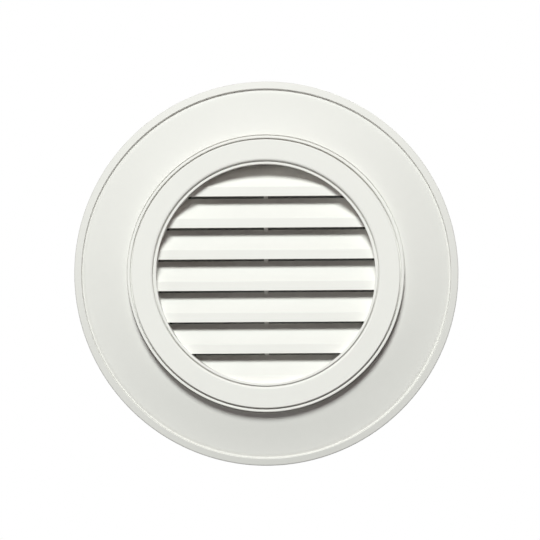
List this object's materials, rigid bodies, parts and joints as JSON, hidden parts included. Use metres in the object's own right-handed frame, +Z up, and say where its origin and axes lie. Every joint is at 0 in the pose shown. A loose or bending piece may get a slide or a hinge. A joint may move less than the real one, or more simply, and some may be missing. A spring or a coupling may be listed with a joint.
{
  "type": "round gable vent",
  "caption": "Round moulded gable vent: louvered base in a collar with a rear insect screen, a wide flared surround with a proud rim, and a raised trim ring that clips over both.",
  "frame": {"origin": "on the axis of the opening, at the plane of the wall, which is the back of the nailing flange", "axes": "+Y along the axis into the wall, so the front faces -Y; +Z up, with the blades level and draining down and forward; +X to the right seen from the front"},
  "size_m": [0.7827, 0.0733, 0.7828],
  "materials": {
    "white_moulding": "satin moulded copolymer, white through its thickness, with a fine moulded grain",
    "screen_wire": "charcoal-coated aluminium wire mesh"
  },
  "bodies": {
    "root": {"louver_base": "white_moulding", "surround": "white_moulding", "trim_ring": "white_moulding", "insect_screen": "screen_wire"}
  },
  "joints": []
}
